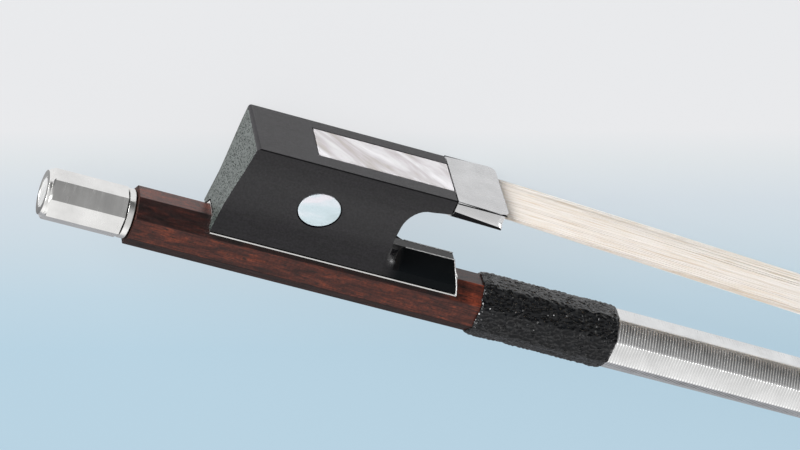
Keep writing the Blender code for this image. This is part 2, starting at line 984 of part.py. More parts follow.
def turned_octagon(half, angle):
    # distance from the axis to the octagon's edge in one direction
    step = math.pi / 4
    away = (angle - button_turn + step / 2) % step - step / 2
    return half / math.cos(away)


def make_button_core(material, parent):
    start, end = sleeve_ends()
    radius = button_width / 2 - button_wall - joint_gap
    core = add_object("button_core", turned_x([(start, radius), (end, radius)]), material, parent)
    bore = screw_radius + joint_gap
    cut(core, "core_bore", turned_x([(overshoot, bore), (-screw_in_button - joint_gap, bore)], 16))
    recess = nipple_radius + joint_gap
    cut(core, "core_recess", turned_x([(overshoot, recess), (-nipple_length - joint_gap, recess)]))


def make_button_collar(material, parent):
    inner = nipple_radius + joint_gap
    start, end = -joint_gap, -collar_width - joint_gap
    bead = collar_bead
    profile = [(start, inner), (start, collar_radius - bead), (start - bead, collar_radius),
               (end + bead, collar_radius), (end, collar_radius - bead), (end, inner)]
    add_object("button_collar", turned_tube_x(profile), material, parent)


def make_button_end(ring_material, pearl_material, parent):
    end = -button_length
    start = end + end_ring_width
    hole = button_pearl_radius + joint_gap
    edge = end_ring_edge
    profile = [(start, hole), (start, end_ring_radius), (end + edge, end_ring_radius),
               (end, end_ring_radius - edge), (end, hole)]
    add_object("button_end_ring", turned_tube_x(profile), ring_material, parent)
    face = end + button_pearl_inset
    disc = turned_x([(start, button_pearl_radius), (face, button_pearl_radius)])
    add_object("button_pearl", disc, pearl_material, parent)


# Assembly


def add_empty(name, parent=None):
    empty = bpy.data.objects.new(name, None)
    bpy.context.collection.objects.link(empty)
    empty.parent = parent
    return empty


def stand_on_origin(frame):
    # the frame's empty moves so that the bow stands on z = 0 round the origin
    bpy.context.view_layer.update()
    graph = bpy.context.evaluated_depsgraph_get()
    corners = []
    for obj in bpy.data.objects:
        if obj.type == "MESH" and not obj.hide_render:
            mesh = obj.evaluated_get(graph).data
            corners += [obj.matrix_world @ v.co for v in mesh.vertices]
    low = [min(c[i] for c in corners) for i in range(3)]
    high = [max(c[i] for c in corners) for i in range(3)]
    frame.location = (-(low[0] + high[0]) / 2, -(low[1] + high[1]) / 2, -low[2])
    bpy.context.view_layer.update()


def build():
    for obj in list(bpy.data.objects):
        bpy.data.objects.remove(obj)
    pernambuco = make_material("pernambuco", (0.13, 0.035, 0.02), 0.35)
    ebony = make_material("ebony", (0.012, 0.011, 0.012), 0.35)
    silver = make_material("silver", (0.78, 0.77, 0.74), 0.25, 1.0)
    pearl = make_material("mother_of_pearl", (0.72, 0.74, 0.72), 0.25)
    hair = make_material("horsehair", (0.80, 0.76, 0.66), 0.5)
    leather = make_material("leather", (0.02, 0.02, 0.02), 0.55)
    brass = make_material("brass", (0.60, 0.43, 0.16), 0.35, 1.0)
    steel = make_material("steel", (0.45, 0.45, 0.46), 0.35, 1.0)
    maple = make_material("maple", (0.55, 0.40, 0.24), 0.55)
    bone = make_material("bone", (0.75, 0.71, 0.60), 0.4)
    thread = make_material("thread", (0.45, 0.08, 0.06), 0.8)

    frame = add_empty("bow_frame")
    slide = add_empty("frog_slide", frame)
    turn = add_empty("screw_turn", frame)

    make_stick(pernambuco, frame)
    make_head_plate(bone, frame)
    make_head_plate_lining(ebony, frame)
    make_head_plug(maple, frame)
    make_head_knot(hair, thread, frame)
    make_hair(hair, frame)
    make_thumb_grip(leather, frame)
    make_wire_winding(silver, frame)

    make_frog_body(ebony, slide)
    make_underslide(silver, slide)
    make_pins(silver, slide)
    make_eyelet(brass, slide)
    make_slide(pearl, ebony, slide)
    make_ferrule(silver, slide)
    make_wedge(maple, slide)
    make_frog_plug(maple, slide)
    make_frog_knot(hair, thread, slide)
    make_eyes(pearl, slide)

    make_screw(steel, turn)
    make_button_core(ebony, turn)
    make_button_sleeve(silver, turn)
    make_button_collar(silver, turn)
    make_button_end(silver, pearl, turn)

    stand_on_origin(frame)
    print("screw axis passes through", [round(c, 6) for c in turn.matrix_world.translation])


build()
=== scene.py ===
import json
import math
import random

import bmesh
import bpy
from mathutils import Matrix, Vector


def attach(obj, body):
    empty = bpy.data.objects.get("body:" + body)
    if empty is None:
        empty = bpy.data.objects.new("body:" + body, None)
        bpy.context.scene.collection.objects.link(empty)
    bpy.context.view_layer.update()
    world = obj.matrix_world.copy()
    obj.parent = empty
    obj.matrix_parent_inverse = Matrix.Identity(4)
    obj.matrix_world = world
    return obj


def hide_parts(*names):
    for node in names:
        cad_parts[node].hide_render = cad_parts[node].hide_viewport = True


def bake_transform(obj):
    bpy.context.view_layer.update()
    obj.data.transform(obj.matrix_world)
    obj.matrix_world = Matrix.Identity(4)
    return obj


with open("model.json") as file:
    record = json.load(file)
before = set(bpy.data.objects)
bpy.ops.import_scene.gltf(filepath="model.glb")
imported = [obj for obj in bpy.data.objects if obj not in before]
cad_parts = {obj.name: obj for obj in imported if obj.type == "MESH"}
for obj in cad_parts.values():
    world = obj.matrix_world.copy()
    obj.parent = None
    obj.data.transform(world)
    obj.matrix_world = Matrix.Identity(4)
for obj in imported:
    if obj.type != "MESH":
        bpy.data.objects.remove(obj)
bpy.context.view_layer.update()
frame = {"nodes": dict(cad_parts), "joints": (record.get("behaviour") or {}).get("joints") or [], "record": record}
nodes = frame["nodes"]
bodyOf = {name: body for body, names in frame["record"]["behaviour"]["bodies"].items() for name in names}
screwJoint = next(joint for joint in frame["joints"] if joint["name"] == "screw_turn")
butt = Vector(screwJoint["pos_m"])  # butt of the wood, on the screw's axis
print("frame loaded:", len(nodes), "nodes")


# small helpers

def atBow(x, y, z):
    # a point counted from the butt: along the stick, towards the hair, up
    return butt + Vector((x, y, z))


def clearSelection():
    if bpy.context.object and bpy.context.object.mode != "OBJECT":
        bpy.ops.object.mode_set(mode="OBJECT")
    bpy.ops.object.select_all(action="DESELECT")


def pick(piece):
    clearSelection()
    piece.select_set(True)
    bpy.context.view_layer.objects.active = piece


def editAll(piece):
    pick(piece)
    bpy.ops.object.mode_set(mode="EDIT")
    bpy.ops.mesh.select_mode(type="VERT")
    bpy.ops.mesh.select_all(action="SELECT")


def leaveEdit():
    bpy.ops.object.mode_set(mode="OBJECT")


def applyModifier(piece, kind, **settings):
    pick(piece)
    bpy.ops.object.modifier_add(type=kind)
    modifier = piece.modifiers[-1]
    for name, value in settings.items():
        setattr(modifier, name, value)
    bpy.ops.object.modifier_apply(modifier=modifier.name)


def smoothShade(piece, degrees):
    pick(piece)
    bpy.ops.object.shade_smooth_by_angle(angle=math.radians(degrees))
    applyModifier(piece, "WEIGHTED_NORMAL", weight=100, keep_sharp=True)


def copyNode(nodeName, pieceName):
    # the CAD node's own shape, merged and cleaned, ready to be worked on
    piece = bpy.data.objects.new(pieceName, nodes[nodeName].data.copy())
    bpy.context.collection.objects.link(piece)
    piece.data.materials.clear()
    pick(piece)
    bpy.ops.mesh.customdata_custom_splitnormals_clear()
    editAll(piece)
    bpy.ops.mesh.remove_doubles(threshold=0.000001)
    bpy.ops.mesh.dissolve_limited(angle_limit=math.radians(0.4))
    leaveEdit()
    return piece


def roundEdges(piece, width, segments, degrees):
    applyModifier(piece, "BEVEL", width=width, segments=segments, limit_method="ANGLE",
                  angle_limit=math.radians(degrees), harden_normals=False, miter_outer="MITER_ARC")


def bevelEdges(piece, width, segments, wanted):
    # rounds the sharp edges whose two ends pass the test
    editAll(piece)
    bpy.ops.mesh.select_mode(type="EDGE")
    bpy.ops.mesh.select_all(action="DESELECT")
    bpy.ops.mesh.edges_select_sharp(sharpness=math.radians(28))
    leaveEdit()
    points = piece.data.vertices
    for edge in piece.data.edges:
        edge.select = edge.select and wanted(*(points[k].co - butt for k in edge.vertices))
    for point in points:
        point.select = False
    for face in piece.data.polygons:
        face.select = False
    bpy.ops.object.mode_set(mode="EDIT")
    bpy.ops.mesh.bevel(offset=width, segments=segments, affect="EDGES", clamp_overlap=True)
    leaveEdit()


def makeTube(name, runs, radius, rings):
    # one curve with a round bevel for all the runs of points, made into a mesh
    data = bpy.data.curves.new(name, "CURVE")
    data.dimensions = "3D"
    data.bevel_depth = radius
    data.bevel_resolution = rings
    data.use_fill_caps = True
    for run in runs:
        spline = data.splines.new("POLY")
        spline.points.add(len(run) - 1)
        for point, place in zip(spline.points, run):
            point.co = (*place, 1.0)
    piece = bpy.data.objects.new(name, data)
    bpy.context.collection.objects.link(piece)
    pick(piece)
    bpy.ops.object.convert(target="MESH")
    piece = bpy.context.object
    piece.name = name
    bpy.ops.object.shade_smooth()
    return piece


def finish(piece, material, nodeName=None, body=None):
    piece.data.materials.clear()
    piece.data.materials.append(material)
    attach(piece, body or bodyOf[nodeName])
    if nodeName:
        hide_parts(nodeName)


# material helpers

def newMaterial(name, **sockets):
    material = bpy.data.materials.new(name)
    material.use_nodes = True
    shader = material.node_tree.nodes["Principled BSDF"]
    for label, value in sockets.items():
        shader.inputs[label].default_value = value
    return material, material.node_tree, shader


def addNode(tree, kind, settings=None, **inputs):
    node = tree.nodes.new("ShaderNode" + kind)
    for name, value in (settings or {}).items():
        setattr(node, name, value)
    for name, value in inputs.items():
        node.inputs[name].default_value = value
    return node


def stretchedPlace(tree, scale, turn=None, move=(0.0, 0.0, 0.0)):
    # object coordinates, turned first and stretched after
    where = addNode(tree, "TexCoord").outputs["Object"]
    if turn:
        turned = addNode(tree, "Mapping", Rotation=turn)
        tree.links.new(where, turned.inputs["Vector"])
        where = turned.outputs["Vector"]
    mapping = addNode(tree, "Mapping", Scale=scale, Location=move)
    tree.links.new(where, mapping.inputs["Vector"])
    return mapping.outputs["Vector"]


def noise(tree, where, detail=3.0, roughness=0.5, distortion=0.0):
    node = addNode(tree, "TexNoise", Scale=1.0, Detail=detail, Roughness=roughness, Distortion=distortion)
    tree.links.new(where, node.inputs["Vector"])
    return node.outputs["Fac"]


def cells(tree, where):
    node = addNode(tree, "TexVoronoi", Scale=1.0)
    tree.links.new(where, node.inputs["Vector"])
    return node.outputs["Distance"]


def ramp(tree, source, stops, ease="LINEAR"):
    # stops are (position, colour)
    node = addNode(tree, "ValToRGB")
    elements = node.color_ramp.elements
    node.color_ramp.interpolation = ease
    while len(elements) < len(stops):
        elements.new(0.5)
    for element, (position, colour) in zip(elements, stops):
        element.position = position
        element.color = (*colour, 1.0)
    tree.links.new(source, node.inputs["Fac"])
    return node.outputs["Color"]


def spread(tree, source, low, high, outLow=0.0, outHigh=1.0, smooth=True):
    node = addNode(tree, "MapRange", {"interpolation_type": "SMOOTHSTEP" if smooth else "LINEAR"})
    node.inputs["From Min"].default_value = low
    node.inputs["From Max"].default_value = high
    node.inputs["To Min"].default_value = outLow
    node.inputs["To Max"].default_value = outHigh
    tree.links.new(source, node.inputs["Value"])
    return node.outputs["Result"]


def maths(tree, operation, first, second):
    node = addNode(tree, "Math", {"operation": operation})
    for socket, value in ((node.inputs[0], first), (node.inputs[1], second)):
        if isinstance(value, bpy.types.NodeSocket):
            tree.links.new(value, socket)
        else:
            socket.default_value = value
    return node.outputs["Value"]


def along(tree, where, direction):
    # how far a place lies in a direction
    node = addNode(tree, "VectorMath", {"operation": "DOT_PRODUCT"})
    node.inputs[1].default_value = Vector(direction)
    tree.links.new(where, node.inputs[0])
    return node.outputs["Value"]


def part(tree, where, axis):
    node = addNode(tree, "SeparateXYZ")
    tree.links.new(where, node.inputs["Vector"])
    return node.outputs[axis]


def mixColour(tree, share, first, second, blend="MIX"):
    node = addNode(tree, "Mix", {"data_type": "RGBA", "blend_type": blend})
    for socket, value in ((node.inputs[0], share), (node.inputs[6], first), (node.inputs[7], second)):
        if isinstance(value, bpy.types.NodeSocket):
            tree.links.new(value, socket)
        else:
            socket.default_value = (*value, 1.0) if isinstance(value, tuple) else value
    return node.outputs[2]


def bump(tree, shader, height, distance, strength=1.0, after=None):
    node = addNode(tree, "Bump", Strength=strength, Distance=distance)
    tree.links.new(height, node.inputs["Height"])
    if after:
        tree.links.new(after, node.inputs["Normal"])
    tree.links.new(node.outputs["Normal"], shader.inputs["Normal"])
    return node.outputs["Normal"]


# materials

def pernambucoWood(name, tones, roughness, gloss, shine, shadeLift=None):
    # the same grain on every facet; the darker copies made for the diagonal facets carry painted shade
    material, tree, shader = newMaterial(name, **{"Coat Weight": gloss, "Coat Roughness": 0.18,
                                                  "Specular IOR Level": shine})
    figure = noise(tree, stretchedPlace(tree, (190, 900, 900)), detail=5.0, roughness=0.68, distortion=0.9)
    streak = noise(tree, stretchedPlace(tree, (240, 3400, 3400), (0, 0, 0.06)), detail=3.0, roughness=0.65)
    cross = noise(tree, stretchedPlace(tree, (2600, 1500, 1500)), detail=2.0, roughness=0.6)
    body = ramp(tree, figure, [(0.34, tones[0]), (0.50, tones[1]), (0.68, tones[2])])
    lines = ramp(tree, streak, [(0.36, (0.55, 0.50, 0.50)), (0.60, (1.20, 1.15, 1.1))])
    flecks = ramp(tree, cross, [(0.38, (0.62, 0.60, 0.60)), (0.62, (1.2, 1.18, 1.16))])
    grain = mixColour(tree, 0.85, body, lines, "MULTIPLY")
    grain = mixColour(tree, 0.7, grain, flecks, "MULTIPLY")
    if shadeLift:
        # the painted shade lifts past the frog's front: the facet is lighter and redder between the frog and the
        # grip
        far = part(tree, addNode(tree, "TexCoord").outputs["Object"], "X")
        share = spread(tree, far, butt.x + shadeLift[0], butt.x + shadeLift[1])
        grain = mixColour(tree, share, grain, mixColour(tree, 1.0, grain, shadeLift[2], "MULTIPLY"))
    pores = noise(tree, stretchedPlace(tree, (650, 7600, 7600), (0, 0, 0.05)), detail=1.0)
    poreShare = spread(tree, pores, 0.60, 0.68)
    colour = mixColour(tree, poreShare, grain, (0.010, 0.005, 0.004))
    tree.links.new(colour, shader.inputs["Base Color"])
    tree.links.new(spread(tree, streak, 0.3, 0.7, roughness * 0.85, roughness * 1.2), shader.inputs["Roughness"])
    bump(tree, shader, spread(tree, pores, 0.60, 0.68, 1.0, 0.0), 0.00002, 0.5)
    return material


# painted shade on the tongue's sides and the root's run-out: where the tone darkens and the gloss fades, and where
# the roughness rises near the root
ebonyShadeFade = {"start": 0.0400, "end": 0.0434, "keep": 0.10, "tone": (0.0036, 0.0045, 0.0052),
             "softStart": 0.0397, "softEnd": 0.0409, "softness": 0.25}


def ebonyWood(name, low, high, roughness, shadeFade=None):
    material, tree, shader = newMaterial(name)
    grain = noise(tree, stretchedPlace(tree, (300, 4200, 4200)), detail=4.0, roughness=0.7)
    weave = noise(tree, stretchedPlace(tree, (3000, 3400, 3400)), detail=2.0)
    body = ramp(tree, grain, [(0.35, low), (0.68, high)])
    shade = ramp(tree, weave, [(0.35, (0.75, 0.75, 0.75)), (0.65, (1.2, 1.2, 1.2))])
    tone = mixColour(tree, 0.8, body, shade, "MULTIPLY")
    gloss = spread(tree, weave, 0.35, 0.65, 0.40, 0.50)
    if shadeFade:
        # painted shade: further along the frog the tone darkens and the gloss fades
        far = part(tree, addNode(tree, "TexCoord").outputs["Object"], "X")
        start, end = butt.x + shadeFade["start"], butt.x + shadeFade["end"]
        gloss = maths(tree, "MULTIPLY", gloss, spread(tree, far, start, end, 1.0, shadeFade["keep"]))
        tone = mixColour(tree, spread(tree, far, start, end), tone, shadeFade["tone"])
    tree.links.new(tone, shader.inputs["Base Color"])
    pores = noise(tree, stretchedPlace(tree, (900, 9000, 9000)), detail=1.0)
    rough = spread(tree, grain, 0.3, 0.7, roughness * 0.85, roughness * 1.25)
    if shadeFade:
        soft = spread(tree, far, butt.x + shadeFade["softStart"], butt.x + shadeFade["softEnd"], 0.0, shadeFade["softness"])
        rough = maths(tree, "MAXIMUM", rough, soft)
    tree.links.new(rough, shader.inputs["Roughness"])
    tree.links.new(gloss, shader.inputs["Specular IOR Level"])
    bump(tree, shader, spread(tree, pores, 0.58, 0.68, 1.0, 0.0), 0.000012, 0.35)
    return material


def ebonyEndGrain():
    # the heel is cut across the grain: grey-green, full of pores
    material, tree, shader = newMaterial("ebonyEndGrain", **{"Roughness": 0.42})
    pores = cells(tree, stretchedPlace(tree, (2300, 3000, 3000)))
    cloud = noise(tree, stretchedPlace(tree, (1500, 1500, 1500)), detail=4.0, roughness=0.7)
    solid = spread(tree, pores, 0.26, 0.50)
    pale = ramp(tree, cloud, [(0.35, (0.0145, 0.020, 0.018)), (0.68, (0.054, 0.064, 0.060))])
    tree.links.new(mixColour(tree, solid, (0.006, 0.008, 0.007), pale), shader.inputs["Base Color"])
    tree.links.new(spread(tree, pores, 0.26, 0.50, 0.0, 0.72), shader.inputs["Specular IOR Level"])
    bump(tree, shader, solid, 0.00003, 0.5)
    return material


def silverMetal(name, tint, roughness, brushing, depth=0.000004):
    # brushing is the scale of the fine lines along each axis
    material, tree, shader = newMaterial(name, **{"Metallic": 1.0, "Roughness": roughness})
    lines = noise(tree, stretchedPlace(tree, brushing), detail=4.0, roughness=0.7)
    cloud = noise(tree, stretchedPlace(tree, (260, 260, 260)), detail=3.0)
    shade = tuple(c * 0.86 for c in tint)
    tree.links.new(ramp(tree, cloud, [(0.3, shade), (0.65, tint)]), shader.inputs["Base Color"])
    tree.links.new(spread(tree, lines, 0.3, 0.7, roughness * 0.75, roughness * 1.3), shader.inputs["Roughness"])
    bump(tree, shader, lines, depth, 0.5)
    return material


def motherOfPearl(name, tints, turn, scale, contrast=1.0):
    # tints are the colours of the layers, from the darkest to the palest
    material, tree, shader = newMaterial(name, **{"Roughness": 0.16, "Coat Weight": 0.5, "Coat Roughness": 0.05})
    where = stretchedPlace(tree, scale, turn)
    sweep = noise(tree, where, detail=3.0, roughness=0.5, distortion=1.2)
    flame = noise(tree, stretchedPlace(tree, tuple(s * 3.1 for s in scale), turn, (3.0, 1.0, 2.0)), detail=3.0,
                  distortion=1.8)
    body = ramp(tree, sweep, [(0.32, tints[0]), (0.45, tints[1]), (0.54, tints[2]), (0.66, tints[3])], "EASE")
    veil = ramp(tree, flame, [(0.36, (0.93, 0.92, 0.93)), (0.60, (1.03, 1.03, 1.04))])
    tree.links.new(mixColour(tree, 0.8 * contrast, body, veil, "MULTIPLY"), shader.inputs["Base Color"])
    bump(tree, shader, sweep, 0.00001, 0.15)
    return material


def horseHair():
    material, tree, shader = newMaterial("horseHair", **{"Roughness": 0.30, "Specular IOR Level": 0.8,
                                                         "Coat Weight": 0.6, "Coat Roughness": 0.2})
    tint = noise(tree, stretchedPlace(tree, (10, 3600, 3600)), detail=2.0, roughness=0.6)
    colour = ramp(tree, tint, [(0.30, (0.85, 0.755, 0.64)), (0.42, (0.94, 0.893, 0.832)),
                               (0.58, (0.972, 0.942, 0.913))])
    tree.links.new(colour, shader.inputs["Base Color"])
    # the strands let light through
    through = addNode(tree, "BsdfTranslucent")
    tree.links.new(colour, through.inputs["Color"])
    blend = addNode(tree, "MixShader", Fac=0.5)
    tree.links.new(shader.outputs["BSDF"], blend.inputs[1])
    tree.links.new(through.outputs["BSDF"], blend.inputs[2])
    tree.links.new(blend.outputs["Shader"], tree.nodes["Material Output"].inputs["Surface"])
    return material


def blackLeather(name, shine):
    material, tree, shader = newMaterial(name, **{"Roughness": 0.2, "Specular IOR Level": shine})
    fine = noise(tree, stretchedPlace(tree, (7000, 7000, 7000)), detail=2.0)
    patch = noise(tree, stretchedPlace(tree, (900, 900, 900)), detail=3.0)
    tree.links.new(ramp(tree, patch, [(0.35, (0.0005, 0.0007, 0.0012)), (0.65, (0.0016, 0.0022, 0.0032))]),
                   shader.inputs["Base Color"])
    tree.links.new(spread(tree, fine, 0.3, 0.7, 0.10, 0.20), shader.inputs["Roughness"])
    grains = cells(tree, stretchedPlace(tree, (1100, 1600, 1600)))
    bump(tree, shader, fine, 0.00001, 0.25, bump(tree, shader, grains, 0.00034, 0.9))
    return material


def plainGrain(name, low, high, scale, roughness, metallic=0.0, shine=0.5):
    # a quiet finish for the small pieces: two tones of grain and a slight bump
    material, tree, shader = newMaterial(name, **{"Roughness": roughness, "Metallic": metallic,
                                                  "Specular IOR Level": shine})
    grain = noise(tree, stretchedPlace(tree, scale), detail=3.0, roughness=0.6)
    tree.links.new(ramp(tree, grain, [(0.32, low), (0.68, high)]), shader.inputs["Base Color"])
    tree.links.new(spread(tree, grain, 0.3, 0.7, roughness * 0.85, roughness * 1.15), shader.inputs["Roughness"])
    bump(tree, shader, grain, 0.00001, 0.3)
    return material


# long facets; diagonal ones towards the hair and diagonal ones away from it, darker copies with painted shade; and
# the two sides, a copy with less gloss
pernambuco = pernambucoWood("pernambuco", ((0.024, 0.008, 0.0065), (0.060, 0.016, 0.011), (0.125, 0.030, 0.014)),
                            0.34, 0.3, 0.42)
pernambucoPaintedShade = pernambucoWood("pernambucoPaintedShade", ((0.005, 0.002, 0.002), (0.014, 0.004, 0.0035),
                                                   (0.034, 0.008, 0.005)),
                                0.42, 0.0, 0.30, (0.0505, 0.0535, (7.5, 6.0, 4.0)))
pernambucoPaintedUnderShade = pernambucoWood("pernambucoPaintedUnderShade", ((0.010, 0.005, 0.0045), (0.024, 0.010, 0.008),
                                                     (0.044, 0.016, 0.012)), 0.5, 0.0, 0.08)
pernambucoSide = pernambucoWood("pernambucoSide", ((0.022, 0.007, 0.0055), (0.058, 0.015, 0.010),
                                                   (0.130, 0.029, 0.013)), 0.34, 0.06, 0.34)
ebony = ebonyWood("ebony", (0.0008, 0.0006, 0.0011), (0.0050, 0.0036, 0.0062), 0.17)
ebonyPaintedShade = ebonyWood("ebonyPaintedShade", (0.0008, 0.0006, 0.0011), (0.0050, 0.0036, 0.0062), 0.17, ebonyShadeFade)
# pale ebony for the tongue's painted highlight line
ebonyPaintedHighlight = ebonyWood("ebonyPaintedHighlight", (0.44, 0.44, 0.44), (0.62, 0.62, 0.62), 0.12)
endGrain = ebonyEndGrain()
buttonSilver = silverMetal("buttonSilver", (0.93, 0.925, 0.91), 0.22, (1600, 220, 220))
ferruleSilver = silverMetal("ferruleSilver", (0.72, 0.72, 0.725), 0.24, (160, 5200, 5200))
liningSilver = silverMetal("liningSilver", (0.92, 0.91, 0.89), 0.24, (300, 3000, 3000))
ringSilver = silverMetal("ringSilver", (0.24, 0.24, 0.235), 0.34, (900, 900, 900))
# darker silver for painted shade on the winding
shadedWireSilver = silverMetal("shadedWireSilver", (0.62, 0.62, 0.62), 0.20, (700, 700, 700), 0.000001)
wireSilver = silverMetal("wireSilver", (0.95, 0.95, 0.945), 0.18, (700, 700, 700), 0.000001)
slidePearl = motherOfPearl("slidePearl", ((0.32, 0.295, 0.28), (0.39, 0.37, 0.372), (0.47, 0.455, 0.465),
                                          (0.56, 0.55, 0.56)), (0.0, 0.80, 0.0), (75, 200, 300))
endPearl = motherOfPearl("endPearl", ((0.24, 0.24, 0.23), (0.28, 0.28, 0.275), (0.31, 0.31, 0.305),
                                      (0.35, 0.35, 0.34)), (0.2, 0.4, 0.1), (120, 160, 160), 0.4)
eyePearl = motherOfPearl("eyePearl", ((0.46, 0.56, 0.59), (0.52, 0.62, 0.66), (0.58, 0.65, 0.69),
                                      (0.68, 0.67, 0.71)), (0.3, 0.2, 0.4), (90, 120, 120), 0.4)
hairWhite = horseHair()
leather = blackLeather("blackLeather", 0.36)
handledLeather = blackLeather("handledLeather", 0.85)
bone = plainGrain("boneIvory", (0.66, 0.60, 0.47), (0.80, 0.76, 0.65), (300, 2500, 1200), 0.32)
maple = plainGrain("mapleWood", (0.42, 0.28, 0.15), (0.60, 0.44, 0.27), (200, 3000, 3000), 0.55)
brass = plainGrain("turnedBrass", (0.50, 0.34, 0.11), (0.66, 0.48, 0.19), (400, 2500, 2500), 0.34, 1.0)
steel = plainGrain("plainSteel", (0.36, 0.36, 0.37), (0.50, 0.50, 0.51), (300, 2500, 2500), 0.34, 1.0)
# near black, for painted shade and painted dark reflections
shadeBlack = plainGrain("paintedShadeBlack", (0.0012, 0.0011, 0.0014), (0.0040, 0.0038, 0.0045), (900, 4200, 4200), 0.6, 0.0, 0.08)
thread = plainGrain("waxedThread", (0.20, 0.02, 0.015), (0.45, 0.07, 0.05), (9000, 2000, 2000), 0.7)
print("materials made")


# camera, as the fit of the photograph gives it

cameraSettings = {
    "place": (-0.118140, 0.249440, 0.460680),
    "right": (0.92458213, 0.35593452, 0.13586206),
    "down": (0.24204815, -0.82418022, 0.51199577),
    "forward": (0.29421179, -0.44049698, -0.84817559),
    "focalPixels": 3430.84,
    "frame": (800, 450),
    "sensor": 36.0,
}


def makeCamera(settings):
    data = bpy.data.cameras.new("photoCamera")
    data.sensor_fit = "HORIZONTAL"
    data.sensor_width = settings["sensor"]
    data.lens = settings["focalPixels"] * settings["sensor"] / settings["frame"][0]
    data.clip_start = 0.01
    data.clip_end = 50.0
    camera = bpy.data.objects.new("photoCamera", data)
    bpy.context.collection.objects.link(camera)
    right, down, forward = (Vector(settings[name]) for name in ("right", "down", "forward"))
    turn = Matrix((right, -down, -forward)).transposed().to_4x4()
    camera.matrix_world = Matrix.Translation(atBow(*settings["place"])) @ turn
    bpy.context.scene.camera = camera


makeCamera(cameraSettings)


# floor, light and surroundings

floorSettings = {
    "size": 8.0,
    "diffuseShare": 0.10,
    "rows": (130, 350),
    "nearest": 0.1,
    "tones": [(0.0, (0.790, 0.798, 0.815)), (0.136, (0.723, 0.760, 0.783)), (0.318, (0.642, 0.707, 0.760)),
              (0.545, (0.575, 0.676, 0.744)), (0.77, (0.509, 0.650, 0.744)), (1.0, (0.470, 0.632, 0.740))],
    # what polished pieces see of it: pale on the hair side, darker behind the stick, a painted shade in the floor's
    # reflection
    "mirror": [(0.0, (0.36, 0.35, 0.36)), (1.0, (0.83, 0.83, 0.835))],
    "mirrorEdges": (-0.006, 0.009),
}


def makeFloor(settings):
    bpy.ops.mesh.primitive_grid_add(x_subdivisions=8, y_subdivisions=8, size=settings["size"])
    floor = bpy.context.object
    floor.name = "studioFloor"
    material = bpy.data.materials.new("studioFloor")
    material.use_nodes = True
    tree = material.node_tree
    tree.nodes.remove(tree.nodes["Principled BSDF"])
    # the tone is painted so that it runs straight down the photograph: drop over reach
    place = addNode(tree, "TexCoord").outputs["Object"]
    eye = atBow(*cameraSettings["place"])
    fall, reach = (maths(tree, "SUBTRACT", along(tree, place, cameraSettings[axis]),
                         eye.dot(Vector(cameraSettings[axis]))) for axis in ("down", "forward"))
    drop = maths(tree, "DIVIDE", fall, maths(tree, "MAXIMUM", reach, settings["nearest"]))
    middleRow, focal = cameraSettings["frame"][1] / 2, cameraSettings["focalPixels"]
    low, high = ((row - middleRow) / focal for row in settings["rows"])
    tone = ramp(tree, spread(tree, drop, low, high, smooth=False), settings["tones"])
    # painted shade in the reflection: darker behind the stick
    mirror = ramp(tree, spread(tree, part(tree, place, "Y"), *settings["mirrorEdges"]), settings["mirror"])
    path = addNode(tree, "LightPath")
    glow = addNode(tree, "Emission", Strength=1.0)
    tree.links.new(mixColour(tree, path.outputs["Is Glossy Ray"], tone, mirror), glow.inputs["Color"])
    plain = addNode(tree, "BsdfDiffuse")
    tree.links.new(tone, plain.inputs["Color"])
    seen = maths(tree, "MAXIMUM", path.outputs["Is Camera Ray"], path.outputs["Is Glossy Ray"])
    amount = spread(tree, seen, 0.0, 1.0, 0.0, 1.0 - settings["diffuseShare"], smooth=False)
    blend = addNode(tree, "MixShader")
    tree.links.new(amount, blend.inputs["Fac"])
    tree.links.new(plain.outputs["BSDF"], blend.inputs[1])
    tree.links.new(glow.outputs["Emission"], blend.inputs[2])
    tree.links.new(blend.outputs["Shader"], tree.nodes["Material Output"].inputs["Surface"])
    floor.data.materials.append(material)


tentSettings = {
    # a light tent whose walls grow from dark above the hair side to bright behind the stick
    "axis": (0.0, -0.866, 0.5),
    "walls": [(0.08, 0.03), (0.115, 0.05), (0.245, 0.14), (0.327, 0.31), (0.50, 0.62), (0.88, 0.66), (0.94, 0.78),
              (0.97, 1.0), (1.0, 1.15)],
    # white panels at both ends of the stick, out of the long facets' sight: x where they start and are full
    "panels": (0.95, (-0.44, -0.56), (0.66, 0.78)),
    # two far softboxes: direction, cosines where each starts and is full, brightness
    "boxes": [((-0.88, 0.46, 0.11), 0.940, 0.965, 31.0), ((0.960, -0.04, 0.24), 0.991, 0.996, 14.0)],
    "strength": 1.2,
    "seen": (0.806, 0.820, 0.840),
}


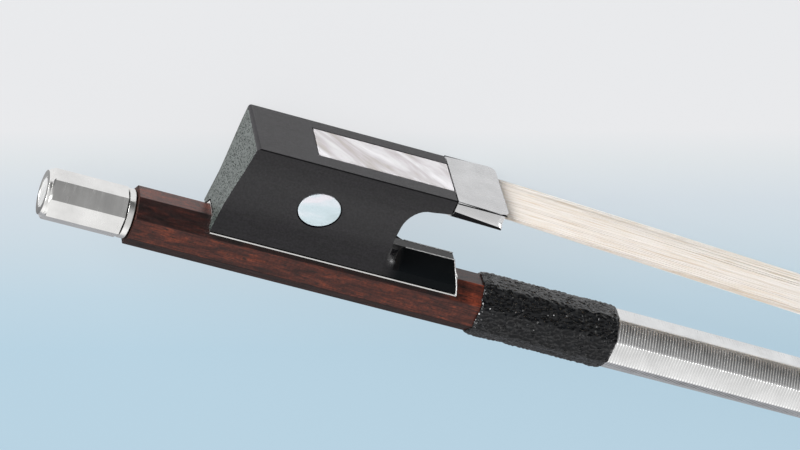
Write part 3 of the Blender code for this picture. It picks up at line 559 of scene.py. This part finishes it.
def makeTent(settings):
    world = bpy.data.worlds.new("lightTent")
    bpy.context.scene.world = world
    world.use_nodes = True
    tree = world.node_tree
    walls = tree.nodes["Background"]
    place = addNode(tree, "TexCoord").outputs["Generated"]
    strength = settings["strength"]
    share = spread(tree, along(tree, place, Vector(settings["axis"]).normalized()), -1.0, 1.0, smooth=False)
    stops = [(position, (value / strength,) * 3) for position, value in settings["walls"]]
    glow, left, right = settings["panels"]
    across = part(tree, place, "X")
    panel = maths(tree, "MAXIMUM", spread(tree, across, left[1], left[0], 1.0, 0.0), spread(tree, across, *right))
    tone = mixColour(tree, panel, ramp(tree, share, stops), (glow / strength,) * 3)
    for away, start, full, brightness in settings["boxes"]:
        towards = along(tree, place, Vector(away).normalized())
        tone = mixColour(tree, spread(tree, towards, start, full), tone, (brightness / strength,) * 3)
    tree.links.new(tone, walls.inputs["Color"])
    walls.inputs["Strength"].default_value = strength
    seen = addNode(tree, "Background", Strength=1.0)
    seen.inputs["Color"].default_value = (*settings["seen"], 1.0)
    path = addNode(tree, "LightPath")
    blend = addNode(tree, "MixShader")
    tree.links.new(path.outputs["Is Camera Ray"], blend.inputs["Fac"])
    tree.links.new(walls.outputs["Background"], blend.inputs[1])
    tree.links.new(seen.outputs["Background"], blend.inputs[2])
    tree.links.new(blend.outputs["Shader"], tree.nodes["World Output"].inputs["Surface"])


keyLamp = {"aim": (0.04, 0.008, 0.0), "from": (-0.75, -0.05, 0.65), "distance": 1.0, "size": 0.35, "watts": 3.0}


def makeKeyLamp(settings):
    data = bpy.data.lights.new("keySoftbox", "AREA")
    data.shape = "SQUARE"
    data.size = settings["size"]
    data.energy = settings["watts"]
    light = bpy.data.objects.new("keySoftbox", data)
    bpy.context.collection.objects.link(light)
    away = Vector(settings["from"]).normalized()
    light.location = atBow(*settings["aim"]) + away * settings["distance"]
    light.rotation_euler = away.to_track_quat("Z", "Y").to_euler()


clearSelection()
makeFloor(floorSettings)
makeTent(tentSettings)
makeKeyLamp(keyLamp)
bpy.context.scene.view_settings.view_transform = "Standard"
print("camera, floor and light set")


# pieces that keep the CAD shape, with worked edges

softened = [
    # node, piece, edge radius, segments, material, slot
    ("head_plate", "headPlateBone", 0.00020, 3, bone, "bone"),
    ("head_plate_lining", "headPlateLining", 0.00008, 2, ebony, "ebony"),
    ("underslide", "underslideSilver", 0.00006, 2, liningSilver, "silver"),
    ("ferrule", "ferruleShell", 0.00014, 2, ferruleSilver, "silver"),
    ("pearl_slide", "slidePearl", 0.00008, 2, slidePearl, "mother_of_pearl"),
    ("pearl_eye_near", "eyePearlNear", 0.00010, 2, eyePearl, "mother_of_pearl"),
    ("pearl_eye_far", "eyePearlFar", 0.00010, 2, eyePearl, "mother_of_pearl"),
    ("button_sleeve", "buttonSleeve", 0.00012, 3, buttonSilver, "silver"),
    ("button_collar", "buttonCollar", 0.00008, 2, buttonSilver, "silver"),
    ("button_pearl", "buttonPearl", 0.00008, 2, endPearl, "mother_of_pearl"),
    ("button_core", "buttonCore", 0.00010, 2, ebony, "ebony"),
    ("eyelet", "eyeletBrass", 0.00010, 2, brass, "brass"),
    ("slide_wood", "slideBacking", 0.00008, 2, ebony, "ebony"),
    ("ferrule_wedge", "ferruleWedge", 0.00008, 2, maple, "maple"),
    ("frog_plug", "frogPlug", 0.00010, 2, maple, "maple"),
    ("head_plug", "headPlug", 0.00010, 2, maple, "maple"),
]


fits = {
    "edgeAngle": 30,
    "liningFrom": 0.0031, "liningRise": 0.00012,
    "sleeveEnd": -0.0125, "sleeveReach": 0.00058, "facetEnd": -0.0120, "facetReach": 0.00100,
    "collarRim": 0.0039, "collarMiddle": -0.0007, "collarTrim": 0.00019,
}
ferrule = {
    "top": 0.02048, "near": 0.0003,
    # the flange's height as the CAD has it, and the share of it that the photograph shows
    "side": 0.0024, "sideShare": 0.78, "belly": 0.0158, "bellyRun": 0.0023,
    "lip": 0.0006, "lipSegments": 4, "lipHalf": 0.0068, "lipLeast": 0.0005,
    "shadeHalf": 0.0058, "shadeFoot": 0.0165, "cornerTop": 0.0190,
}


def fitPiece(piece, nodeName):
    # small moves of the copied points, where the photograph shows a finer form than the CAD
    top, side, share = ferrule["top"], ferrule["side"], ferrule["sideShare"]
    for point in piece.data.vertices:
        place = point.co - butt
        if nodeName == "underslide" and place.y > fits["liningFrom"]:
            point.co.y -= fits["liningRise"]
        if nodeName == "button_sleeve" and place.x < fits["sleeveEnd"]:
            point.co.x -= fits["sleeveReach"]
        elif nodeName == "button_sleeve" and place.x < fits["facetEnd"]:
            point.co.x -= fits["facetReach"]
        if nodeName == "button_collar" and place.yz.length > fits["collarRim"]:
            point.co.x += fits["collarTrim"] if place.x > fits["collarMiddle"] else -fits["collarTrim"]
        if nodeName == "ferrule" and place.y > top - side:
            point.co.y = butt.y + top - (top - place.y) * share
        elif nodeName == "ferrule":
            rise = min(1.0, max(0.0, (place.y - ferrule["belly"]) / ferrule["bellyRun"]))
            point.co.y += side * (1 - share) * rise


def onLip(first, second):
    # the lower edge of the ferrule's flange
    low = ferrule["top"] - ferrule["side"] * ferrule["sideShare"]
    runsAlong = abs(first.x - second.x) > ferrule["lipLeast"] and first.z * second.z > 0
    outside = min(abs(first.z), abs(second.z)) > ferrule["lipHalf"]
    return runsAlong and outside and max(first.y, second.y) < low + ferrule["near"]


def shadeFerrule(piece):
    # painted dark reflection along the edges of the flat, painted shade under the flange, and painted shade over
    # the glint at the front lower corner
    piece.data.materials.append(shadeBlack)
    for face in piece.data.polygons:
        place, normal = face.center - butt, face.normal
        onEdgeShade = place.y > ferrule["top"] - ferrule["near"] and normal.y > 0.3 and abs(normal.z) > 0.3
        below = abs(place.z) > ferrule["shadeHalf"] and normal.y < -0.22 and place.y > ferrule["shadeFoot"]
        corner = normal.x > 0.2 and normal.y < -0.1 and place.y < ferrule["cornerTop"]
        if abs(normal.x) < 0.5 and (onEdgeShade or below) or corner:
            face.material_index = 1


def makeSoftened():
    for nodeName, pieceName, radius, segments, material, slotName in softened:
        piece = copyNode(nodeName, pieceName)
        fitPiece(piece, nodeName)
        if nodeName == "ferrule":
            bevelEdges(piece, ferrule["lip"], ferrule["lipSegments"], onLip)
        roundEdges(piece, radius, segments, fits["edgeAngle"])
        smoothShade(piece, 35)
        finish(piece, material, nodeName)
        if nodeName == "ferrule":
            shadeFerrule(piece)


shadeLine = {"radius": 0.00010, "depth": 0.00006, "drop": 0.00018, "back": -0.0001, "front": 0.0004}


def makeShadeLines(settings):
    # painted dark reflection: a dark line along the edge between the ferrule's flat and each of its sides
    places = [point.co - butt for point in bpy.data.objects["ferruleShell"].data.vertices]
    flat = [place for place in places if place.y > ferrule["top"] - ferrule["near"]]
    start = min(place.x for place in flat) + settings["back"]
    end = max(place.x for place in flat) - settings["front"]
    half = max(place.z for place in flat) - settings["depth"]
    high = ferrule["top"] - settings["drop"]
    runs = [[atBow(x, high, side * half) for x in (start, (start + end) / 2, end)] for side in (1, -1)]
    piece = makeTube("ferruleShadeLines", runs, settings["radius"], 2)
    finish(piece, shadeBlack, None, "frog")


stickWood = {"edge": 0.00022, "edgeAngle": 24, "smoothAngle": 20, "side": 0.9, "diagonal": 0.35, "butt": 0.001}


def makeStick(settings):
    piece = copyNode("stick", "stickWood")
    roundEdges(piece, settings["edge"], 3, settings["edgeAngle"])
    smoothShade(piece, settings["smoothAngle"])
    finish(piece, pernambuco, "stick")
    for material in (pernambucoPaintedShade, pernambucoPaintedUnderShade, pernambucoSide):
        piece.data.materials.append(material)
    for face in piece.data.polygons:
        normal = face.normal
        if abs(normal.z) > settings["side"]:
            face.material_index = 3
        # painted shade: the diagonal facets take the darker copies
        if min(abs(normal.y), abs(normal.z)) > settings["diagonal"]:
            face.material_index = 1 if normal.y > 0 else 2
        # painted shade over the glint on the edge at the butt
        if normal.x < -0.25 and face.center.x < butt.x + settings["butt"]:
            face.material_index = 2


# frog: the CAD body with its edges worked and its tongue run out smoothly from the throat's root

frog = {
    "bottom": 0.00282, "top": 0.02048, "halfBottom": 0.00485, "halfTop": 0.00720, "straight": 0.0042,
    "seat": 0.0464, "heelReach": 0.0145, "channelTop": 0.0034,
    # the tongue: its top, where its faces lie, and its side as (height, half width)
    "tongueTop": 0.0072, "tongueBack": 0.0385, "tongueHigh": 0.0088,
    "tongueSide": ((0.00337, 0.00485), (0.00456, 0.00460), (0.00574, 0.00320), (0.00720, 0.00110)),
    "noseFoot": 0.0534, "noseLean": 0.00135, "noseLow": -0.0020, "noseHigh": 0.0080, "noseHalf": 0.009,
    "noseDepth": 0.003,
    # the run-out at the throat's root
    "rootStart": 0.0392, "rootTurn": 0.0399, "rootEnd": 0.0438, "rootRise": 0.0013, "riseEnd": 0.0424,
    "rootSteps": 26, "rootRows": 20, "rootSink": 0.00003, "rootInset": 0.00001, "tongueInset": 0.00006,
    "rootCrown": 0.0010, "rimEnd": 0.0430,
    # edges
    "arris": 0.00010, "arrisFoot": 0.0030, "arrisBack": 0.0436, "edge": 0.00030, "smallEdge": 0.00016,
    "throatEdge": 0.00045, "throatSpan": (0.0390, 0.0462), "throatHeights": (0.0094, 0.0176), "throatHalf": 0.0045,
    "rimFoot": 0.0040, "rimDepth": 0.0003, "rimNear": 0.0005, "rimLeast": 0.0005, "crossNear": 0.0006,
    "rimPast": 0.0004,
    # the throat's arch, drawn in towards its middle
    "archMiddle": (0.0433, 0.0128), "archShare": 0.825, "ceilingShare": 0.89, "archBack": 0.0391,
    "archHeights": (0.0085, 0.01785),
}


def ease(t):
    t = min(1.0, max(0.0, t))
    return t * t * (3 - 2 * t)


def cheekHalf(y):
    straight = frog["bottom"] + frog["straight"]
    if y <= straight:
        return frog["halfBottom"]
    t = (y - straight) / (frog["top"] - straight)
    return frog["halfBottom"] + (frog["halfTop"] - frog["halfBottom"]) * (0.4 * t + 0.6 * ease(t))


def tongueHalf(y):
    # half width of the CAD tongue at this height
    points = frog["tongueSide"]
    for (lowY, lowHalf), (highY, highHalf) in zip(points, points[1:]):
        if y <= highY:
            return lowHalf + (highHalf - lowHalf) * max(0.0, (y - lowY) / (highY - lowY))
    return points[-1][1]


def closedShell(name, rings):
    # a closed solid through equal rings of points
    sheet = bmesh.new()
    rows = [[sheet.verts.new(point) for point in ring] for ring in rings]
    for first, second in zip(rows, rows[1:]):
        for k in range(len(first)):
            n = (k + 1) % len(first)
            sheet.faces.new((first[k], first[n], second[n], second[k]))
    sheet.faces.new(rows[0][::-1])
    sheet.faces.new(rows[-1])
    bmesh.ops.recalc_face_normals(sheet, faces=sheet.faces)
    data = bpy.data.meshes.new(name)
    sheet.to_mesh(data)
    sheet.free()
    shell = bpy.data.objects.new(name, data)
    bpy.context.collection.objects.link(shell)
    return shell


def cutAway(piece, cutter):
    applyModifier(piece, "BOOLEAN", operation="DIFFERENCE", object=cutter, solver="EXACT")
    bpy.data.objects.remove(cutter)


def rootFillet():
    # below the throat each cheek runs out smoothly into the tongue, with a rim that sinks to its top
    rings = []
    steps, rows, foot = frog["rootSteps"], frog["rootRows"], frog["channelTop"]
    top = frog["tongueTop"] - frog["rootSink"]
    for i in range(steps + 1):
        x = frog["rootStart"] + (frog["rootEnd"] - frog["rootStart"]) * i / steps
        out = ease((x - frog["rootTurn"]) / (frog["rootEnd"] - frog["rootTurn"]))
        rim = top + frog["rootRise"] * (1.0 - ease((x - frog["rootTurn"]) / (frog["riseEnd"] - frog["rootTurn"])))
        side = []
        for k in range(rows + 1):
            y = foot + (rim - foot) * k / rows
            wide, slim = cheekHalf(y) - frog["rootInset"], tongueHalf(y) - frog["tongueInset"]
            side.append((y, wide + (slim - wide) * out))
        side.append((top, min(frog["rootCrown"], side[-1][1] - 0.00002)))
        rings.append([atBow(x, y, half) for y, half in side] + [atBow(x, y, -half) for y, half in reversed(side)])
    return closedShell("rootFillet", rings)


def noseLine(y):
    # how far forward the tongue's leaning front stands at this height
    lean = frog["noseLean"] / (frog["tongueTop"] - frog["bottom"])
    return frog["noseFoot"] - lean * (y - frog["bottom"])


def noseCutter():
    # leans the tongue's front back a little
    low, high, front = frog["noseLow"], frog["noseHigh"], frog["noseFoot"] + frog["noseDepth"]
    outline = ((noseLine(low), low), (front, low), (front, high), (noseLine(high), high))
    sides = (-frog["noseHalf"], frog["noseHalf"])
    return closedShell("noseCutter", [[atBow(x, y, z) for x, y in outline] for z in sides])


def shrinkThroat(piece):
    middle, share = frog["archMiddle"], frog["archShare"]
    low, ceiling = frog["archHeights"]
    for point in piece.data.vertices:
        place = point.co - butt
        if place.y < frog["channelTop"]:
            point.co.y -= fits["liningRise"]
        if place.x > frog["archBack"] and low < place.y < ceiling:
            if place.x < middle[0]:
                point.co.x = butt.x + middle[0] + (place.x - middle[0]) * share
            if place.y > middle[1]:
                ahead = min(1.0, max(0.0, (place.x - middle[0]) / (frog["seat"] - middle[0])))
                high = frog["ceilingShare"] + (1.0 - frog["ceilingShare"]) * ahead
                point.co.y = butt.y + middle[1] + (place.y - middle[1]) * high


def onRim(first, second):
    # the outline of the frog's cheeks above the stick, but for the throat
    ends = (first, second)
    outside = all(abs(end.z) > cheekHalf(end.y) - frog["rimDepth"] for end in ends)
    sameSide = first.z * second.z > 0
    atHeel = all(end.x < frog["heelReach"] for end in ends)
    heel = atHeel and all(end.y > frog["rimFoot"] for end in ends)
    slide = all(end.y > frog["top"] - frog["rimNear"] and end.x < frog["seat"] + frog["rimPast"] for end in ends)
    long = max(abs(first.x - second.x), abs(first.y - second.y)) > frog["rimLeast"]
    crosses = not sameSide and atHeel and all(end.y > frog["top"] - frog["crossNear"] for end in ends)
    return outside and (sameSide and long and (heel or slide) or crosses)


def onThroat(first, second):
    # the two edges of the throat's arch
    (back, front), (low, high) = frog["throatSpan"], frog["throatHeights"]
    return first.z * second.z > 0 and all(back < end.x < front and low < end.y < high
                                          and abs(end.z) > frog["throatHalf"] for end in (first, second))


def makeFrog():
    piece = copyNode("frog_body", "frogEbony")
    shrinkThroat(piece)
    bevelEdges(piece, frog["edge"], 3, onRim)
    bevelEdges(piece, frog["throatEdge"], 4, onThroat)
    cutAway(piece, noseCutter())
    editAll(piece)
    bpy.ops.mesh.remove_doubles(threshold=0.000004)
    bpy.ops.mesh.dissolve_degenerate(threshold=0.000004)
    leaveEdit()
    roundEdges(piece, frog["smallEdge"], 2, 22)
    bodyFaces = len(piece.data.polygons)
    fillet = rootFillet()
    pick(fillet)
    piece.select_set(True)
    bpy.context.view_layer.objects.active = piece
    bpy.ops.object.join()
    smoothShade(piece, 36)
    finish(piece, ebony, "frog_body")
    for material in (endGrain, shadeBlack, ebonyPaintedShade):
        piece.data.materials.append(material)
    for face in piece.data.polygons:
        place, normal = face.center - butt, face.normal
        onRoot = face.index >= bodyFaces
        onTongue = place.x > frog["tongueBack"] and place.y < frog["tongueHigh"] and abs(normal.z) > 0.35
        onEdge = place.y > frog["top"] - frog["rimNear"] and min(normal.y, abs(normal.z)) > 0.2
        if normal.x < -0.93 and place.x < frog["heelReach"]:
            face.material_index = 1
        # painted shade on the root's run-out and on the tongue's sides
        if onRoot or onTongue:
            face.material_index = 3
        # painted dark reflection on the bevel between the slide face and each cheek, and painted shade on the
        # root's top rim
        if onEdge or onRoot and normal.y > 0.5 and place.x < frog["rimEnd"]:
            face.material_index = 2


def makeArris():
    # painted highlight: a pale line up the tongue's front and back along its top, on both sides, for the light its
    # edge catches
    profile = ((frog["arrisFoot"], frog["halfBottom"]),) + frog["tongueSide"]
    runs = []
    for side in (1, -1):
        front = [atBow(noseLine(y), y, side * half) for y, half in profile]
        back = atBow(frog["arrisBack"], frog["tongueTop"], side * profile[-1][1])
        runs.append(front[:-1])
        runs.append([front[-2], front[-1], back])
    piece = makeTube("tongueArris", runs, frog["arris"], 2)
    finish(piece, ebonyPaintedHighlight, None, "frog")


# button's end ring: dark flat face, bright chamfered rim

endRing = {"end": -0.01424, "width": 0.00052, "hole": 0.00239, "rim": 0.00354, "foot": 0.00366, "edge": 0.00006,
           "steps": 96}


def spinProfile(name, profile, steps):
    # a closed profile of (along, radius) turned round the screw's axis
    data = bpy.data.meshes.new(name)
    points = [atBow(x, radius, 0.0) for x, radius in profile]
    count = len(points)
    data.from_pydata(points, [(k, (k + 1) % count) for k in range(count)], [])
    piece = bpy.data.objects.new(name, data)
    bpy.context.collection.objects.link(piece)
    editAll(piece)
    bpy.ops.mesh.spin(steps=steps, angle=2 * math.pi, center=butt, axis=(1.0, 0.0, 0.0))
    bpy.ops.mesh.select_all(action="SELECT")
    bpy.ops.mesh.remove_doubles(threshold=0.000001)
    bpy.ops.mesh.normals_make_consistent(inside=False)
    leaveEdit()
    return piece


def makeEndRing(settings):
    end, start, edge = settings["end"], settings["end"] + settings["width"], settings["edge"]
    profile = [(start, settings["hole"]), (start, settings["foot"]), (end + edge, settings["rim"] + edge * 0.4),
               (end + edge * 0.3, settings["rim"]), (end, settings["rim"] - edge), (end, settings["hole"] + edge),
               (end + edge, settings["hole"])]
    piece = spinProfile("buttonEndRing", profile, settings["steps"])
    smoothShade(piece, 20)
    finish(piece, buttonSilver, "button_end_ring")
    piece.data.materials.append(ringSilver)
    for face in piece.data.polygons:
        if face.normal.x < -0.9:
            face.material_index = 1


def dressPlain():
    # the small pieces inside keep their CAD solids
    for nodeName, material in (("screw", steel), ("underslide_pin_rear", liningSilver),
                               ("underslide_pin_front", liningSilver), ("head_knot", hairWhite),
                               ("frog_knot", hairWhite), ("head_knot_thread", thread),
                               ("frog_knot_thread", thread)):
        node = nodes[nodeName]
        node.data.materials.clear()
        node.data.materials.append(material)


makeSoftened()
makeStick(stickWood)
makeFrog()
makeEndRing(endRing)
dressPlain()
makeArris()
makeShadeLines(shadeLine)
print("wood, silver and pearl pieces made")


# what the winding, the grip and the hair follow

stick = {"width": 0.0088, "tipWidth": 0.0054, "handle": 0.062, "plate": 0.70049, "taper": 1.15,
         "bendStart": 0.050, "bend": 0.076}
facetSlopes = (0.414, 2.41)  # height over width at the two ends of a diagonal facet


def stickHalf(x):
    if x <= stick["handle"]:
        return stick["width"] / 2
    share = (x - stick["handle"]) / (stick["plate"] - stick["handle"])
    return (stick["width"] + (stick["tipWidth"] - stick["width"]) * share ** stick["taper"]) / 2


def stickCentre(x):
    return -stick["bend"] * max(0.0, x - stick["bendStart"]) ** 2


# silver winding

winding = {"start": 0.0819, "length": 0.0757, "pitch": 0.00050, "wire": 0.00050, "top": 0.00030,
           "cornerRadius": 0.0005, "cornerSteps": 2}


def octagonRun(half, corner, steps):
    # places round an octagon with rounded corners, as (y, z)
    points = []
    inset = half - corner
    for i in range(8):
        middle = math.pi / 8 + i * math.pi / 4
        reach = inset / math.cos(math.pi / 8)
        for k in range(steps + 1):
            angle = middle - math.pi / 8 + k * math.pi / 4 / steps
            points.append((reach * math.cos(middle) + corner * math.cos(angle),
                           reach * math.sin(middle) + corner * math.sin(angle)))
    return points


def makeWinding(settings):
    turns = int(settings["length"] / settings["pitch"])
    perTurn = 8 * (settings["cornerSteps"] + 1)
    run = []
    for turn in range(turns):
        for k in range(perTurn):
            x = settings["start"] + settings["pitch"] * (turn + k / perTurn + 0.5)
            half = stickHalf(x) + settings["top"] - settings["wire"]
            y, z = octagonRun(half, settings["cornerRadius"], settings["cornerSteps"])[k]
            run.append(atBow(x, stickCentre(x) + y, z))
    piece = makeTube("silverWinding", [run], settings["wire"], 6)
    finish(piece, wireSilver, "wire_winding")
    # painted shade: the facets turned half to the hair get a darker silver
    piece.data.materials.append(shadedWireSilver)
    for face in piece.data.polygons:
        place = face.center - butt
        low, high = (slope * abs(place.z) for slope in facetSlopes)
        if low < place.y - stickCentre(place.x) < high:
            face.material_index = 1


makeWinding(winding)
print("winding made")


# leather grip

grip = {"insideReach": 0.00015, "insideShare": 0.94, "voxel": 0.00016, "softness": 0.6, "softening": 40,
        "pebble": 0.00060, "depth": 0.00024, "level": 0.30, "wave": 0.0026, "waveDepth": 0.00022, "waveLevel": 0.4}


def makeGrip(settings):
    piece = copyNode("thumb_grip", "thumbGripLeather")
    for point in piece.data.vertices:
        # the inside lies close on the wood
        x = point.co.x - butt.x
        middle = Vector((point.co.x, butt.y + stickCentre(x), butt.z))
        if (point.co - middle).length < stickHalf(x) / math.cos(math.pi / 8) + settings["insideReach"]:
            point.co = middle + (point.co - middle) * settings["insideShare"]
    applyModifier(piece, "REMESH", mode="VOXEL", voxel_size=settings["voxel"])
    applyModifier(piece, "SMOOTH", factor=settings["softness"], iterations=settings["softening"])
    waves = bpy.data.textures.new("slackWaves", "CLOUDS")
    waves.noise_scale = settings["wave"]
    applyModifier(piece, "DISPLACE", texture=waves, strength=settings["waveDepth"],
                  mid_level=settings["waveLevel"], texture_coords="LOCAL")
    pebbles = bpy.data.textures.new("pebbledGrain", "VORONOI")
    pebbles.noise_scale = settings["pebble"]
    pebbles.distance_metric = "DISTANCE"
    applyModifier(piece, "DISPLACE", texture=pebbles, strength=-settings["depth"],
                  mid_level=settings["level"], texture_coords="LOCAL")
    pick(piece)
    bpy.ops.object.shade_smooth()
    finish(piece, leather, "thumb_grip")
    # the facet on the hair side is polished by handling
    piece.data.materials.append(handledLeather)
    for face in piece.data.polygons:
        place = face.center - butt
        if place.y - stickCentre(place.x) > facetSlopes[1] * abs(place.z):
            face.material_index = 1


makeGrip(grip)
print("grip made")


# hair

hair = {
    "strands": 190, "radius": 0.000085, "seed": 7, "layers": (-0.00022, 0.0, 0.00022),
    "scatter": 0.02, "drift": 0.05, "lift": 0.00012, "swayTurns": 9.0, "liftTurns": 23.0,
    # the strands lie loosest between these two places, and tighten over this run
    "looseStart": 0.056, "looseEnd": 0.70, "looseRun": 0.05,
}

hairStations = [
    # along the stick, height above its axis, half width, share of the layers' height
    (0.0298, 0.01775, 0.0030, 0.9),
    (0.0470, 0.01778, 0.0031, 0.9),
    (0.0506, 0.01908, 0.0056, 0.9),
    (0.0552, 0.01928, 0.0060, 1.0),
    (0.0700, 0.01855, 0.0063, 1.0),
    (0.1150, 0.01630, 0.0067, 1.0),
    (0.2000, 0.01205, 0.0066, 1.0),
    (0.3500, 0.00455, 0.0062, 1.0),
    (0.5500, -0.00545, 0.0056, 1.0),
    (0.6600, -0.01095, 0.0050, 1.0),
    (0.6945, -0.01268, 0.0046, 1.0),
    (0.7045, -0.01315, 0.0030, 0.9),
    (0.7075, -0.01425, 0.0028, 0.9),
    (0.7100, -0.01480, 0.0027, 0.9),
    (0.7128, -0.01740, 0.0018, 0.9),
]


def makeHair(settings, stations):
    dice = random.Random(settings["seed"])
    scatter, mostDrift = settings["scatter"], settings["drift"]
    runs = []
    for number in range(settings["strands"]):
        side = -1.0 + 2.0 * (number + 0.5) / settings["strands"] + dice.uniform(-scatter, scatter)
        layer = settings["layers"][number % 3]
        drift = dice.uniform(-mostDrift, mostDrift)
        wave = dice.uniform(0.0, 6.28)
        swell = dice.uniform(0.2, 1.0)
        run = []
        for x, y, half, high in stations:
            loose = min(1.0, max(0.0, (x - settings["looseStart"]) / settings["looseRun"]))
            loose *= min(1.0, max(0.0, (settings["looseEnd"] - x) / settings["looseRun"]))
            sway = drift * math.sin(settings["swayTurns"] * x + wave) * loose
            share = max(-1.0, min(1.0, side + sway))
            lift = layer * high + settings["lift"] * swell * math.sin(settings["liftTurns"] * x + wave) * loose
            run.append(atBow(x, y + lift, share * half))
        runs.append(run)
    piece = makeTube("bowHair", runs, settings["radius"], 0)
    piece.data.materials.clear()
    piece.data.materials.append(hairWhite)
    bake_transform(piece)
    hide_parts("hair")


makeHair(hair, hairStations)
print("hair made")
